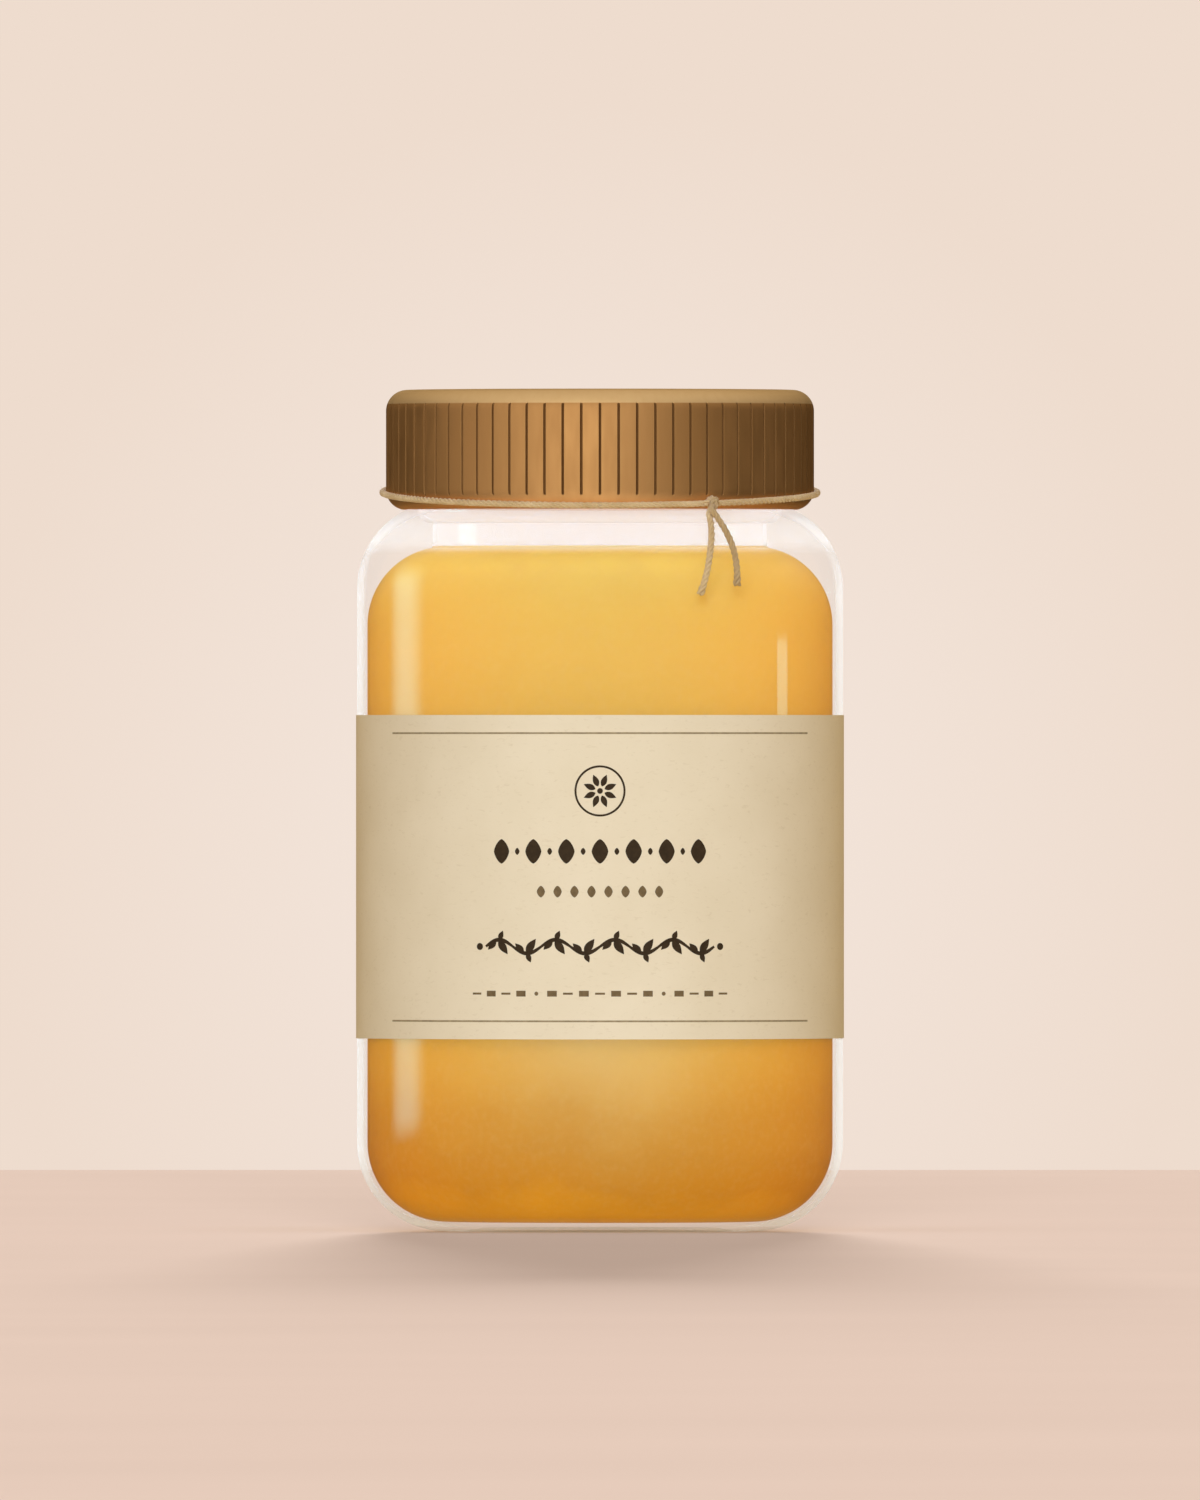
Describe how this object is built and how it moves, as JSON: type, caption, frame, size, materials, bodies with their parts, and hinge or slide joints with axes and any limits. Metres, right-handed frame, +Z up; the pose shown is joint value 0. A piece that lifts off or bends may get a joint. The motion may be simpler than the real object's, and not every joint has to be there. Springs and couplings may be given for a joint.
{
  "type": "honey jar",
  "caption": "Filled clear glass jar with rounded heel and shoulder, ribbed screw lid, wrap-round paper label and a twine tie below the lid; holds honey.",
  "frame": {"origin": "centre of the base, on the surface the jar stands on", "axes": "+Z up along the jar's axis; the front of the jar, with the middle of the label's print, faces -Y; the twine's knot is on the +X side of the front"},
  "size_m": [0.0718, 0.0718, 0.1238],
  "materials": {
    "clear_glass": "clear, smooth",
    "honey": "translucent amber liquid",
    "lid_metal": "satin bronze, finely ribbed",
    "label_paper": "uncoated cream paper",
    "twine": "twisted natural fibre"
  },
  "bodies": {
    "root": {"glass_jar": "clear_glass", "honey": "honey", "lid": "lid_metal", "label": "label_paper", "twine": "twine"}
  },
  "joints": []
}
